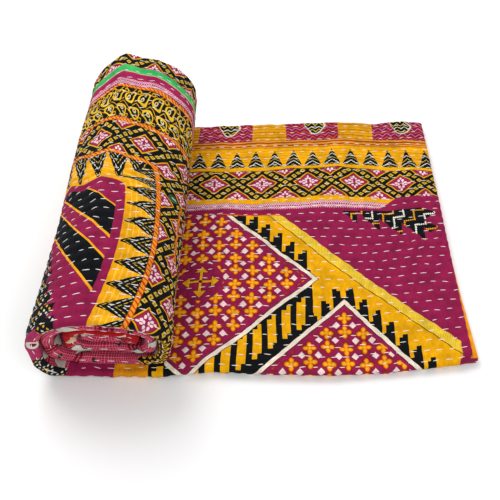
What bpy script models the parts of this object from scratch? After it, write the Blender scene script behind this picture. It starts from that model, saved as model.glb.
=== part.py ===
"""A hand-stitched cotton quilt, folded twice into a long strip of four layers and rolled up from one end.

Metres, +Z up. The strip runs along X and is STRIP_WIDTH wide along Y. Its right end lies flat, and its left
end is rolled up on top of itself, with the roll's axis along Y. The front edge (-Y) is two nested folds.
The quilt is one cloth, so it is one solid: the section of the four layers, swept along the strip's path.
"""

import math

import bmesh
import bpy
import numpy as np

# Driving dimensions
CLOTH = 0.0025  # thickness of the stitched cloth
LAYER_GAP = 0.00045  # air between two layers of the folded strip
WRAP_GAP = 0.0014  # air between two wraps of the roll
STRIP_WIDTH = 0.380  # a quarter of the quilt's width
FLAT_RUN = 0.3865  # from the strip's right end to under the middle of the roll
TURNS = 3.32  # wraps from the floor to the free end in the core
STATIONS_PER_TURN = 20
FLAT_STATIONS = 15
CORE_DROP = 0.004  # the inner wraps have sunk this much more than they are thick
CORE_DRAW = 0.008  # and have drawn in this much more at their sides
CORE_CURL = 0.003  # the free end curls in from the wrap around it by this much
BOTTOM_FLAT = 1.03  # above 1, the roll's underside is level either side of its middle
HEM_SETBACK_OUTER = 0.0015  # how far the open edges stop short of the back edge
HEM_SETBACK_INNER = 0.005
HEM_ROUND = 0.4  # the open edges are rounded by this share of the cloth's thickness
CORNER_ROUND = 0.006  # the outer layers' right front corner is rounded off by this much
BENDS = (-0.1, 0.0, 0.1)  # places across the strip where each layer has a row of points
BEND_CLEAR = 0.004  # and the least distance from such a row to a layer's end

# Where the inner wraps start to be loose and are fully loose, and where the free end starts to curl, in turns
LOOSE_FROM = 1.5
LOOSE_TO = 2.4
CURL_FROM = 3.1

# Unevenness of the roll in metres, and of the flat part as a share of its height. The waves count by turn and
# along the roll's axis, or along and across the flat part, both in radians.
WAVE_COLUMNS = ("size", "along", "across", "start")
ROLL_WAVES = ((0.0016, 2.0, 17.0, 0.0), (0.0011, 3.0, -31.0, 1.0))
FLAT_WAVES = ((0.070, 21.0, 9.0, 0.0), (0.042, 34.0, -26.0, 2.0))
COVERED = 0.75  # from here to under the roll, the flat part's waves fade out

# The roll's outside at its two ends. Shift moves its middle along +X, lean moves its top along +X for each metre
# of height, and square is the exponent that squares its lower half, 1 for an oval.
ROLL_COLUMNS = ("end", "width", "height", "shift", "lean", "square")
ROLL_TABLE = (
    (-0.19, 0.141, 0.114, 0.005, 0.12, 0.50),
    (0.19, 0.135, 0.119, 0.004, 0.02, 0.66),
)

# How far the inner layers show past the outer ones at the right end, by place across the strip.
PEEK_COLUMNS = ("place", "shown")
PEEK_TABLE = ((-0.190, 0.0045), (-0.184, 0.0070), (-0.099, 0.0025), (0.0, 0.0))

# Worked out from the dimensions
LAYER_PITCH = CLOTH + LAYER_GAP
STRIP_THICK = 4 * CLOTH + 3 * LAYER_GAP
WRAP_PITCH = STRIP_THICK + WRAP_GAP
OUTER_FOLD = 1.5 * LAYER_PITCH  # radius of a fold's middle line
INNER_FOLD = 0.5 * LAYER_PITCH
FRONT_CENTRE = -STRIP_WIDTH / 2 + OUTER_FOLD + CLOTH / 2
BACK_CENTRE = STRIP_WIDTH / 2 - INNER_FOLD - CLOTH / 2

# Where the folded edges wander, by place along the strip: -1 at the right end, 0 under the middle of the roll,
# and then one for each turn. Shifts are along +Y.
EDGE_COLUMNS = ("place", "shift")
FRONT_EDGE = (
    (-1.00, 0.0210),
    (-0.88, 0.0140),
    (-0.73, 0.0070),
    (-0.62, 0.0038),
    (-0.40, 0.0035),
    (-0.28, 0.0050),
    (-0.14, -0.0020),
    (0.15, -0.0035),
    (0.35, 0.0025),
    (0.55, 0.0045),
    (0.85, 0.0060),
    (1.05, 0.0085),
    (1.50, 0.0060),
    (2.00, 0.0150),
    (2.50, 0.0090),
    (3.00, 0.0190),
    (3.40, 0.0160),
)
BACK_EDGE = (
    (-1.00, 0.0070),
    (-0.93, 0.0080),
    (-0.83, 0.0012),
    (-0.68, 0.0036),
    (-0.51, 0.0004),
    (-0.38, -0.0040),
    (-0.16, -0.0110),
    (0.10, -0.0120),
    (0.30, -0.0120),
    (0.40, -0.0050),
    (0.45, 0.0085),
    (0.50, -0.0020),
    (0.55, 0.0010),
    (0.75, -0.0040),
    (1.20, -0.0100),
    (1.60, -0.0060),
    (2.00, -0.0140),
    (3.40, -0.0120),
)


def smooth(low, high, value):
    """0 below low, 1 above high, and an even curve between."""
    share = min(1.0, max(0.0, (value - low) / (high - low)))
    return share * share * (3 - 2 * share)


def read_table(table, columns, name, place):
    """A named column of a table at one place, which the table's first column gives."""
    rows = np.array(table)
    return float(np.interp(place, rows[:, 0], rows[:, columns.index(name)]))


def arc(centre_y, radius, start, end, steps):
    """Points (y, height) on an arc about a fold's centre, without its first and last one."""
    angles = [math.radians(start + (end - start) * i / steps) for i in range(1, steps)]
    return [(centre_y + radius * math.cos(a), radius * math.sin(a)) for a in angles]


def run(height, start, end):
    """A layer's points across the strip. All layers bend at the same places, so that none meets its neighbour."""
    stops = [FRONT_CENTRE, *BENDS, BACK_CENTRE]
    low, high = min(start, end), max(start, end)
    ys = [low] + [y for y in stops if low + BEND_CLEAR < y < high - BEND_CLEAR] + [high]
    if start > end:
        ys.reverse()
    return [(y, height) for y in ys]


def section_line():
    """The middle line of the folded cloth in (y, height), from the outer open edge to the inner one."""
    line = run(-OUTER_FOLD, STRIP_WIDTH / 2 - HEM_SETBACK_OUTER, FRONT_CENTRE)
    line += arc(FRONT_CENTRE, OUTER_FOLD, 270, 90, 6)
    line += run(OUTER_FOLD, FRONT_CENTRE, BACK_CENTRE)
    line += [(y, h + LAYER_PITCH) for y, h in arc(BACK_CENTRE, INNER_FOLD, 90, -90, 4)]
    line += run(INNER_FOLD, BACK_CENTRE, FRONT_CENTRE)
    line += arc(FRONT_CENTRE, INNER_FOLD, 90, 270, 4)
    line += run(-INNER_FOLD, FRONT_CENTRE, STRIP_WIDTH / 2 - HEM_SETBACK_INNER)
    return np.array(line)


def section_outline(line):
    """The cloth's two faces, each half its thickness from the middle line, and a point on each open edge."""
    ahead = np.vstack([line[1:], line[-1:]]) - np.vstack([line[:-1], line[-1:]])
    ahead[-1] = line[-1] - line[-2]
    ahead /= np.linalg.norm(ahead, axis=1)[:, None]
    behind = np.vstack([ahead[:1], ahead[:-1]])
    side = ahead + behind
    side /= np.linalg.norm(side, axis=1)[:, None]
    side = np.stack([-side[:, 1], side[:, 0]], axis=1)
    left = line + side * CLOTH / 2
    right = line - side * CLOTH / 2
    hem = CLOTH * HEM_ROUND
    return left, right, line[0] - ahead[0] * hem, line[-1] + ahead[-1] * hem


def waves(table, first, second):
    """The sum of a table's waves at one place."""
    return sum(size * math.sin(along * first + across * second + start) for size, along, across, start in table)


def roll_point(turn, y, height):
    """A point of the rolled strip: turn counts wraps from the floor, height is towards the strip's inner face.

    The unevenness repeats each turn, so that the wraps stay nested, and it is nothing at the floor.
    """
    angle = -math.pi / 2 - 2 * math.pi * turn
    width, tall, shift, lean, square = (read_table(ROLL_TABLE, ROLL_COLUMNS, n, y) for n in ROLL_COLUMNS[1:])
    half_wide = (width + WRAP_PITCH) / 2
    half_tall = (tall + WRAP_PITCH / 2) / 2
    across, up = math.cos(angle), math.sin(angle)
    bump = (1 + up) / 2 * waves(ROLL_WAVES, angle, y)
    depth = STRIP_THICK / 2 + WRAP_PITCH * turn + height - bump
    depth += CORE_CURL * smooth(CURL_FROM, TURNS, turn)
    loose = smooth(LOOSE_FROM, LOOSE_TO, turn)
    if up < 0:
        across = math.copysign(abs(across) ** square, across)
        up = -min(1.0, BOTTOM_FLAT * abs(up) ** square)
    x = across * (half_wide - depth - CORE_DRAW * loose)
    z = up * (half_tall - depth - CORE_DROP * loose)
    return x + shift + lean * z, half_tall + z


def flat_point(share, y, height):
    """A point of the flat part: share is 0 at the right end and 1 under the roll. The underside is level."""
    x = FLAT_RUN * (1 - share)
    swell = 1 + smooth(1.0, COVERED, share) * waves(FLAT_WAVES, x, y)
    return x, (STRIP_THICK / 2 + height) * swell


def stretch(y, place):
    """Moves a point of the section along Y, as the strip's two edges wander."""
    towards_back = 0.5 + y / STRIP_WIDTH
    front = read_table(FRONT_EDGE, EDGE_COLUMNS, "shift", place) * (1 - towards_back)
    return y + front + read_table(BACK_EDGE, EDGE_COLUMNS, "shift", place) * towards_back


def end_shift(y, height):
    """The right end: the inner layers show past the outer ones, whose front corner is rounded off."""
    if abs(height) < LAYER_PITCH and y > FRONT_CENTRE - INNER_FOLD - CLOTH:
        return read_table(PEEK_TABLE, PEEK_COLUMNS, "shown", y)
    return -CORNER_ROUND * smooth(FRONT_CENTRE + CLOTH, FRONT_CENTRE - OUTER_FOLD, y)


def station_rings(outline):
    """The section's outline at each station, from the right end to the free end in the core."""
    rings = []
    for share in np.linspace(0, 1, FLAT_STATIONS)[:-1]:
        ring = []
        for y, height in outline:
            x, z = flat_point(share, y, height)
            if share == 0:
                x += end_shift(y, height)
            ring.append((x, stretch(y, share - 1), z))
        rings.append(ring)
    for turn in np.arange(0, TURNS, 1 / STATIONS_PER_TURN):
        ring = []
        for y, height in outline:
            x, z = roll_point(turn, y, height)
            ring.append((x, stretch(y, turn), z))
        rings.append(ring)
    return rings


def extrude_ring(bm, ring, points):
    """Extrudes a ring of the section's outline to the next station."""
    edges = [bm.edges.get(pair) for pair in zip(ring, ring[1:] + ring[:1])]
    made = bmesh.ops.extrude_edge_only(bm, edges=edges)["geom"]
    fresh = {item for item in made if isinstance(item, bmesh.types.BMVert)}
    there = []
    for vert, point in zip(ring, points):
        copy = next(edge.other_vert(vert) for edge in vert.link_edges if edge.other_vert(vert) in fresh)
        copy.co = point
        there.append(copy)
    return there


def cap(bm, ring, layers):
    """Closes an end of the strip, as quads from face to face of the cloth and a triangle at each open edge."""
    left, right = ring[:layers], ring[layers + 1 : 2 * layers + 1][::-1]
    for i in range(layers - 1):
        bm.faces.new((left[i], left[i + 1], right[i + 1], right[i]))
    bm.faces.new((left[-1], ring[layers], right[-1]))
    bm.faces.new((left[0], right[0], ring[-1]))


def quilt_mesh():
    """The swept solid, its bounding box centred on the origin with its underside at height 0."""
    left, right, first_edge, last_edge = section_outline(section_line())
    outline = [*left, last_edge, *right[::-1], first_edge]
    rings = np.array(station_rings(outline))
    low, high = rings.min(axis=(0, 1)), rings.max(axis=(0, 1))
    rings -= ((low[0] + high[0]) / 2, (low[1] + high[1]) / 2, low[2])
    bm = bmesh.new()
    first = [bm.verts.new(point) for point in rings[0]]
    for pair in zip(first, first[1:] + first[:1]):
        bm.edges.new(pair)
    last = first
    for points in rings[1:]:
        last = extrude_ring(bm, last, points)
    cap(bm, first, len(left))
    cap(bm, last, len(left))
    bmesh.ops.recalc_face_normals(bm, faces=bm.faces)
    mesh = bpy.data.meshes.new("quilt")
    bm.to_mesh(mesh)
    bm.free()
    return mesh


def printed_cotton():
    """Plum printed cotton, matt."""
    material = bpy.data.materials.new("printed_cotton")
    material.use_nodes = True
    shader = material.node_tree.nodes["Principled BSDF"]
    shader.inputs["Base Color"].default_value = (0.40, 0.03, 0.12, 1)
    shader.inputs["Roughness"].default_value = 0.85
    shader.inputs["Metallic"].default_value = 0.0
    return material


def main():
    for thing in list(bpy.data.objects):
        bpy.data.objects.remove(thing)
    quilt = bpy.data.objects.new("quilt", quilt_mesh())
    bpy.context.scene.collection.objects.link(quilt)
    quilt.data.materials.append(printed_cotton())
    quilt.data.shade_smooth()
    quilt.data.set_sharp_from_angle(angle=math.radians(40))


main()
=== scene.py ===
"""Looks for a hand-stitched cotton quilt, folded into a strip of four layers and rolled up from one end.

Metres, +Z up. The cloth is laid on the same path as its solid, as a thin sheet with the soft ridges and
puckers that its stitching gives it. It is made in three lengths that meet under the roll, out of sight.
"""

import math

import bmesh
import bpy
import numpy as np
from mathutils import Euler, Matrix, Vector, noise


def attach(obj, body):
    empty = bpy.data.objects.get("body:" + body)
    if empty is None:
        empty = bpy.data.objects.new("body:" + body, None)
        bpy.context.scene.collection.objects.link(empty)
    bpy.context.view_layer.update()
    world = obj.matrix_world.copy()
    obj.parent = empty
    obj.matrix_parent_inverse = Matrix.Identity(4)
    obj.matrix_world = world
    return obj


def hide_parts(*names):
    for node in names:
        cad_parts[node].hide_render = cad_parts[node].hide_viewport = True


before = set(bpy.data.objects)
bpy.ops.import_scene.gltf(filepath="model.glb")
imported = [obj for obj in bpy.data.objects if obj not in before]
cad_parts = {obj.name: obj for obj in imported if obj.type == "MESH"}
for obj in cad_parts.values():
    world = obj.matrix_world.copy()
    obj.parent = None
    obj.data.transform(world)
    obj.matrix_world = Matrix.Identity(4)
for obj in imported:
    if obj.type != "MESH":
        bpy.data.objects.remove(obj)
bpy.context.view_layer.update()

# Sizes of the folded strip and its roll, as in the solid
CLOTH = 0.0025  # thickness of the stitched cloth
LAYER_GAP = 0.00045  # air between two layers
WRAP_GAP = 0.0014  # air between two wraps
STRIP_WIDTH = 0.380
FLAT_RUN = 0.3865  # from the strip's right end to under the middle of the roll
TURNS = 3.32
CORE_DROP, CORE_DRAW = 0.004, 0.008  # how far the loose inner wraps draw in, in height and at the sides
CORE_CURL = 0.003  # how far the cloth's inner end curls in
BOTTOM_FLAT = 1.03  # stretches the roll's underside before it is cut off level
HEM_SETBACK_OUTER, HEM_SETBACK_INNER = 0.0015, 0.005  # of the two open edges at the back
CORNER_ROUND = 0.006
END_BLEND = 1 / 14  # share of the flat run over which the right end's shifts fade
LOOSE_FROM, LOOSE_TO, CURL_FROM = 1.5, 2.4, 3.1  # in turns
ROLL_WAVES = ((0.0016, 2.0, 17.0, 0.0), (0.0011, 3.0, -31.0, 1.0))  # size, along, across, start
FLAT_WAVES = ((0.070, 21.0, 9.0, 0.0), (0.042, 34.0, -26.0, 2.0))
COVERED = 0.75  # share of the flat run beyond which its swelling fades, under the roll
ROLL_ENDS = (-0.19, 0.19)  # front and back, in Y; the roll's sizes below are given at these two
ROLL_WIDTH, ROLL_HEIGHT, ROLL_SHIFT = (0.141, 0.135), (0.114, 0.119), (0.005, 0.004)
ROLL_LEAN, ROLL_SQUARE = (0.12, 0.02), (0.50, 0.66)  # lean to the right, and how round its underside is
# How far the inner layers look out at the right end: place across, shift in X
PEEK = ((-0.190, 0.0045), (-0.184, 0.0070), (-0.099, 0.0025), (0.0, 0.0))
LAYER_PITCH = CLOTH + LAYER_GAP
STRIP_THICK = 4 * CLOTH + 3 * LAYER_GAP
WRAP_PITCH = STRIP_THICK + WRAP_GAP
OUTER_FOLD = 1.5 * LAYER_PITCH
INNER_FOLD = 0.5 * LAYER_PITCH
FRONT_CENTRE = -STRIP_WIDTH / 2 + OUTER_FOLD + CLOTH / 2
BACK_CENTRE = STRIP_WIDTH / 2 - INNER_FOLD - CLOTH / 2
FRAME_SHIFT = np.array((-0.161428, -0.0025, 0.0))  # from the section's own axes to the model's

# How the strip's two folded edges wander: place along it (-1 right end, 0 under the roll, then turns) and
# shift in Y
FRONT_EDGE = (
    (-1.00, 0.0210), (-0.88, 0.0140), (-0.73, 0.0070), (-0.62, 0.0038), (-0.40, 0.0035), (-0.28, 0.0050),
    (-0.14, -0.0020), (0.15, -0.0035), (0.35, 0.0025), (0.55, 0.0045), (0.85, 0.0060), (1.05, 0.0085),
    (1.50, 0.0060), (2.00, 0.0150), (2.50, 0.0090), (3.00, 0.0190), (3.40, 0.0160),
)
BACK_EDGE = (
    (-1.00, 0.0070), (-0.93, 0.0080), (-0.83, 0.0012), (-0.68, 0.0036), (-0.51, 0.0004), (-0.38, -0.0040),
    (-0.16, -0.0110), (0.10, -0.0120), (0.30, -0.0120), (0.40, -0.0050), (0.45, 0.0085), (0.50, -0.0020),
    (0.55, 0.0010), (0.75, -0.0040), (1.20, -0.0100), (1.60, -0.0060), (2.00, -0.0140), (3.40, -0.0120),
)

# Sewing
ROW_PITCH = 0.0122  # between rows of running stitch
STITCH_PITCH = 0.0142
ROW_SHIFT = 0.37  # share of a stitch's pitch by which each row is shifted from the one before
ROW_WAVES = ((0.0011, 47.0, 19.0, 0.0), (0.0006, 103.0, -61.0, 1.3))  # size, along, across, start
HALF_STITCH = (0.0027, 0.0042)  # shortest and longest
STRAY_ALONG, STRAY_ACROSS, STRAY_SLANT = 0.0009, 0.00025, 0.10  # how unevenly the stitches are set
THREAD = 0.0009
THREAD_FLAT = 0.4  # half the thread's height, as a share of its width
THREAD_CROWN = 0.0003  # how much higher a stitch's middle stands than its ends
THREAD_SINK = 0.00002  # how far a stitch's ends lie below the cloth's surface
PUFF = 0.0011  # how far the cloth stands up between the rows
PULL, WRINKLES = 0.35, 0.9  # how far each stitch draws it in, and small wrinkles, as shares of that
SHEET_STEP, INNER_STEP = 0.0021, 0.0028  # between the sheet's points, outside and inside the roll
ENDS_SHOWN = 0.030  # how near to the roll's two ends its inner wraps have points close together
JOIN_FADE = 0.012  # how far from a join the ridges rise to their full height
SEED = 7

# Where the three lengths of cloth meet, in places along the strip, and their size cut flat
JOINS = (-1.0, 0.06, 1.06, TURNS)


def smooth(low, high, value):
    """0 below low, 1 above high, and an even curve between."""
    share = np.clip((value - low) / (high - low), 0, 1)
    return share * share * (3 - 2 * share)


def read_table(table, place):
    """The second column of a table at a place that its first column gives."""
    rows = np.array(table)
    return np.interp(place, rows[:, 0], rows[:, 1])


def waves(table, first, second):
    """Sum of the table's slow waves at a place."""
    return sum(size * np.sin(along * first + across * second + start) for size, along, across, start in table)


def roll_point(turn, y, height):
    """X and Z of points of the rolled strip. Height is towards the strip's inner face."""
    angle = -math.pi / 2 - 2 * math.pi * turn
    sizes = (ROLL_WIDTH, ROLL_HEIGHT, ROLL_SHIFT, ROLL_LEAN, ROLL_SQUARE)
    width, tall, shift, lean, square = (np.interp(y, ROLL_ENDS, ends) for ends in sizes)
    half_wide = (width + WRAP_PITCH) / 2
    half_tall = (tall + WRAP_PITCH / 2) / 2
    across, up = np.cos(angle), np.sin(angle)
    bump = (1 + up) / 2 * waves(ROLL_WAVES, angle, y)
    depth = STRIP_THICK / 2 + WRAP_PITCH * turn + height - bump + CORE_CURL * smooth(CURL_FROM, TURNS, turn)
    loose = smooth(LOOSE_FROM, LOOSE_TO, turn)
    low = up < 0
    across = np.where(low, np.sign(across) * np.abs(across) ** square, across)
    up = np.where(low, -np.minimum(1.0, BOTTOM_FLAT * np.abs(up) ** square), up)
    x = across * (half_wide - depth - CORE_DRAW * loose)
    z = up * (half_tall - depth - CORE_DROP * loose)
    return x + shift + lean * z, half_tall + z


def flat_point(share, y, height):
    """X and Z of points of the flat part. Share is 0 at the right end and 1 under the roll."""
    x = FLAT_RUN * (1 - share)
    swell = 1 + smooth(1.0, COVERED, share) * waves(FLAT_WAVES, x, y)
    inner = (np.abs(height) < LAYER_PITCH) & (y > FRONT_CENTRE - INNER_FOLD - CLOTH)
    corner = -CORNER_ROUND * smooth(FRONT_CENTRE + CLOTH, FRONT_CENTRE - OUTER_FOLD, y)
    x = x + np.where(inner, read_table(PEEK, y), corner) * np.clip(1 - share / END_BLEND, 0, 1)
    x = x + roll_point(np.zeros_like(share), y, height)[0] * smooth(0.9, 1.0, share)
    return x, (STRIP_THICK / 2 + height) * swell


def strip_point(place, y, height):
    """Points of the strip in the model's axes, from arrays of places, widths across and heights."""
    place, y, height = np.broadcast_arrays(*(np.asarray(v, float) for v in (place, y, height)))
    flat_x, flat_z = flat_point(np.minimum(place, 0) + 1, y, height)
    roll_x, roll_z = roll_point(np.maximum(place, 0), y, height)
    towards_back = 0.5 + y / STRIP_WIDTH
    edges = read_table(FRONT_EDGE, place) * (1 - towards_back) + read_table(BACK_EDGE, place) * towards_back
    x, z = np.where(place < 0, flat_x, roll_x), np.where(place < 0, flat_z, roll_z)
    return np.stack([x, y + edges, z], axis=-1) + FRAME_SHIFT


def fine_places():
    """Places along the whole strip, closest together where the roll's underside turns fastest."""
    share = np.linspace(0, math.ceil(TURNS), 4001)
    turns = np.floor(share) + (1 - np.cos(math.pi * (share % 1))) / 2
    return np.concatenate([np.linspace(-1, 0, 400, endpoint=False), turns[turns <= TURNS]])


FINE = fine_places()
FACE_HEIGHT = OUTER_FOLD + CLOTH / 2
FRONT_ARC = math.pi * FACE_HEIGHT  # the cloth's way round the front fold


def lengths_along(height):
    """Distance along the strip at each fine place, measured at a height in the section, 0 under the roll."""
    points = strip_point(FINE, 0.0, height)
    distance = np.concatenate([[0], np.cumsum(np.linalg.norm(np.diff(points, axis=0), axis=1))])
    return distance - np.interp(0.0, FINE, distance)


OUTSIDE = lengths_along(-FACE_HEIGHT)
MIDDLE = lengths_along(0.0)


def even_places(start, end, step, measured):
    """Places from start to end, a step apart along the cloth."""
    first, last = np.interp((start, end), FINE, measured)
    return np.interp(np.linspace(first, last, int(round((last - first) / step)) + 1), measured, FINE)


# The section's faces, in the order in which its outline meets them
UNDER, FRONT_OUT, TOP, BACK_OUT, SECOND, FRONT_IN, THIRD, HEM_IN = range(8)
THIRD_LOW, FRONT_IN_BACK, SECOND_UP, BACK_IN, TOP_LOW, FRONT_OUT_BACK, UNDER_UP, HEM_OUT = range(8, 16)


def straight(spacing, face, height, side, back):
    """Columns of a flat face: middle point, direction outwards, and which face it is."""
    places = spacing(face, back)[::side]
    count = len(places)
    level, out = np.full(count, height), np.full(count, side)
    return np.column_stack([places, level, np.zeros(count), out, np.full(count, face)])


def fold(face, centre, radius, side, start, end, steps):
    """Columns round a fold, without its first and last one, which belong to the flat faces beside it."""
    angles = np.radians(np.linspace(start, end, steps + 1)[1:-1])
    out = np.column_stack([np.cos(angles), np.sin(angles)])
    return np.column_stack([np.array(centre) + out * radius, out * side, np.full(len(angles), face)])


def section_columns(spacing):
    """The section's outline as columns (y, height, outwards y, outwards height, face).

    spacing(face) gives a face's places across the strip, from front to back, between the fold centres.
    """
    hem_out = STRIP_WIDTH / 2 - HEM_SETBACK_OUTER
    hem_in = STRIP_WIDTH / 2 - HEM_SETBACK_INNER
    front, back = (FRONT_CENTRE, 0.0), (BACK_CENTRE, LAYER_PITCH)
    return np.vstack([
        straight(spacing, UNDER, -OUTER_FOLD, -1, hem_out),
        fold(FRONT_OUT, front, OUTER_FOLD, 1, 270, 90, 14),
        straight(spacing, TOP, OUTER_FOLD, 1, BACK_CENTRE),
        fold(BACK_OUT, back, INNER_FOLD, 1, 90, -90, 8),
        straight(spacing, SECOND, INNER_FOLD, -1, BACK_CENTRE),
        fold(FRONT_IN, front, INNER_FOLD, -1, 90, 270, 4),
        straight(spacing, THIRD, -INNER_FOLD, 1, hem_in),
        fold(HEM_IN, (hem_in, -INNER_FOLD), 0.0, 1, 90, -90, 6),
        straight(spacing, THIRD_LOW, -INNER_FOLD, -1, hem_in),
        fold(FRONT_IN_BACK, front, INNER_FOLD, 1, 270, 90, 8),
        straight(spacing, SECOND_UP, INNER_FOLD, 1, BACK_CENTRE),
        fold(BACK_IN, back, INNER_FOLD, -1, -90, 90, 4),
        straight(spacing, TOP_LOW, OUTER_FOLD, -1, BACK_CENTRE),
        fold(FRONT_OUT_BACK, front, OUTER_FOLD, -1, 90, 270, 8),
        straight(spacing, UNDER_UP, -OUTER_FOLD, 1, hem_out),
        fold(HEM_OUT, (hem_out, -OUTER_FOLD), 0.0, 1, 90, -90, 6),
    ])


def sheet_spacing(dense, step, ends=0.0, wide=0.040):
    """A spacing function: dense faces have columns a step apart, and the others only near their two ends."""
    def places(face, back):
        if face in dense:
            return np.linspace(FRONT_CENTRE, back, int(round((back - FRONT_CENTRE) / step)) + 1)
        near = np.arange(0, ends, step)
        middle = np.linspace(FRONT_CENTRE + ends, back - ends, int(round((back - FRONT_CENTRE) / wide)) + 1)
        return np.concatenate([FRONT_CENTRE + near, middle, back - near[::-1]])
    return places


def across_print(columns, home):
    """Distance across the print in metres at each column: the home face's own y, and on round the front."""
    y, _, out_y, out_h, face = columns.T
    side = 1 if home == TOP else -1
    turned = np.arctan2(-out_y, side * out_h) / math.pi
    other = UNDER if home == TOP else TOP
    across = np.where(face == other, 2 * FRONT_CENTRE - FRONT_ARC - y, y)
    return np.where(face == FRONT_OUT, FRONT_CENTRE - FRONT_ARC * turned, across)


def soft_noise(along, across, along_size, across_size, start):
    """Even noise from -1 to 1 on the cloth, with its features' sizes in metres."""
    shape = np.broadcast(along, across).shape
    along, across = (np.broadcast_to(v, shape).ravel() for v in (along, across))
    values = [noise.noise(Vector((a / along_size, b / across_size, start))) for a, b in zip(along, across)]
    return np.array(values).reshape(shape)


def row_wander(along, across):
    """How far the rows of stitches stray across the cloth, in metres."""
    return waves(ROW_WAVES, along, across)


def puff(along, across):
    """How far the cloth stands out from its solid: ridges between the rows, drawn in at each stitch."""
    row = (across - row_wander(along, across)) / ROW_PITCH
    ridge = 0.5 - 0.5 * np.cos(2 * math.pi * row)
    pull = 0.5 + 0.5 * np.cos(2 * math.pi * (along / STITCH_PITCH + ROW_SHIFT * np.round(row)))
    wide, small = soft_noise(along, across, 0.016, 0.050, 3.0), soft_noise(along, across, 0.009, 0.018, 9.0)
    return PUFF * (ridge - PULL * pull * (1 - ridge) + WRINKLES * (wide + 0.6 * small))


def lay_length(columns, places, along, loft):
    """Points of one length of cloth, as rows by place and columns round the section."""
    end = np.minimum(1, np.abs(along[:, None] - along[0]) / (CLOTH / 2)) if places[0] == -1 else 1.0
    thick = CLOTH / 2 * np.sqrt(np.clip(1 - (1 - end) ** 2, 0.06, 1)) * np.ones((len(places), 1))
    outwards = thick + loft
    y, height, out_y, out_h, _ = columns.T
    points = strip_point(places[:, None], y + out_y * outwards, height + out_h * outwards)
    points[..., 2] = np.maximum(points[..., 2], 0.0)
    return points


def linear(code):
    """An sRGB hex colour as linear RGBA."""
    channels = [int(code[i : i + 2], 16) / 255 for i in (1, 3, 5)]
    return (*(c / 12.92 if c <= 0.04045 else ((c + 0.055) / 1.055) ** 2.4 for c in channels), 1)


# Dyes that more than one place has, or that need a name, as sRGB
MAGENTA, BLACK, YELLOW, ORANGE, CREAM = "#8E1A47", "#0B0F12", "#E6A504", "#DE6414", "#E8D8C4"
GREEN, CRIMSON, BRICK, PALE_GOLD, OCHRE = "#38B45C", "#B01014", "#7A2A10", "#EBC638", "#D2AC34"


def add(kind, *values, tree=None, out=0, **settings):
    """Adds a node with its settings, and links or sets its inputs in order. Returns one output, or a slice.

    kind is the node's kind, with its operation after a space. A maths node without an operation adds. The
    node goes into the tree of the first socket that it is linked to, or into the one that is given.
    """
    tree = tree or next(value.id_data for value in values if isinstance(value, bpy.types.NodeSocket))
    kind, _, operation = kind.partition(" ")
    node = tree.nodes.new("ShaderNode" + kind)
    if operation:
        node.operation = operation
    for name, value in settings.items():
        setattr(node, name, value)
    for socket, value in zip([s for s in node.inputs if s.enabled], values):
        if isinstance(value, bpy.types.NodeSocket):
            tree.links.new(value, socket)
        elif value is not None:
            socket.default_value = value
    return [s for s in node.outputs if s.enabled][out]


def start_material(name, roughness, gloss):
    """A new material, and its shader's node."""
    material = bpy.data.materials.new(name)
    material.use_nodes = True
    shader = material.node_tree.nodes["Principled BSDF"]
    shader.inputs["Roughness"].default_value = roughness
    shader.inputs["Specular IOR Level"].default_value = gloss
    return material, shader


def printed_cotton(name, draw):
    """Printed cotton: matt, with dye that takes unevenly, a fine plain weave and the sewing's small puckers,
    which are bumps and also darken the colour in their hollows as painted shade.

    draw gives its colours from the cloth's coordinates in mm: the vector (along, across, 1), and its parts.
    """
    material, shader = start_material(name, 0.9, 0.1)
    tree = material.node_tree
    place = add("Attribute", tree=tree, attribute_name="print", out=1)
    along, across = add("SeparateXYZ", place, out=slice(2))
    colour = draw(place, along, across)
    patchy = add("TexNoise", place, 0.045, 3, 0.6)
    # Real threads are 0.35 mm apart: drawn 1.1 mm apart, which is as fine as shows
    weave = add("TexNoise", add("VectorMath MULTIPLY", place, (0.9, 0.22, 0)), 1, 1, 0.5)
    pucker_relief_and_shade = add("TexNoise", add("VectorMath MULTIPLY", place, (0.20, 0.11, 0)), 1, 2, 0.55)
    shade = add("MapRange", patchy, 0.3, 0.7, 0.76, 1.12)
    # The puckers also darken the colour where their bumps sink: painted shade.
    for noise_value, dark, light in ((weave, 0.92, 1.07), (pucker_relief_and_shade, 0.88, 1.08)):
        shade = add("Math MULTIPLY", shade, add("MapRange", noise_value, 0.3, 0.7, dark, light))
    relief = add("Math MULTIPLY_ADD", weave, 0.15, pucker_relief_and_shade)
    shader.inputs["Sheen Weight"].default_value = 0.02
    shader.inputs["Sheen Roughness"].default_value = 0.5
    tree.links.new(add("VectorMath SCALE", colour, shade), shader.inputs["Base Color"])
    tree.links.new(add("Bump", 0.55, 0.003, None, relief), shader.inputs["Normal"])
    return material


def where(*tests):
    """1 where every test holds. A test is a mask, or (value, low, high) with None for an open end."""
    mask = None
    for test in tests:
        if isinstance(test, tuple):
            value, low, high = test
            if low is None:
                test = add("Math LESS_THAN", value, high)
            elif high is None:
                test = add("Math GREATER_THAN", value, low)
            else:
                test = add("Math COMPARE", value, (low + high) / 2, (high - low) / 2)
        mask = test if mask is None else add("Math MULTIPLY", mask, test)
    return mask


def paint(ground, *layers):
    """Prints layers over the ground in turn, each (colour, test, ...). Colours are sRGB hex or sockets."""
    for ink, *tests in layers:
        ground, ink = (linear(value) if isinstance(value, str) else value for value in (ground, ink))
        ground = add("Mix", where(*tests), ground, ink, data_type="RGBA")
    return ground


def repeated(place, half_wide, half_tall, middle=(0, 0)):
    """Position from the nearest point of a grid with a point in the middle. The halves are of its pitches."""
    local = add("VectorMath", place, (-middle[0], -middle[1], 0))
    return add("VectorMath WRAP", local, (half_wide, half_tall, 1), (-half_wide, -half_tall, -1))


def diamond_size(local):
    """Distance from the middle along both axes together, which is the same all round a diamond."""
    return add("VectorMath DOT_PRODUCT", add("VectorMath ABSOLUTE", local), (1, 1, 0))


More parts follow.
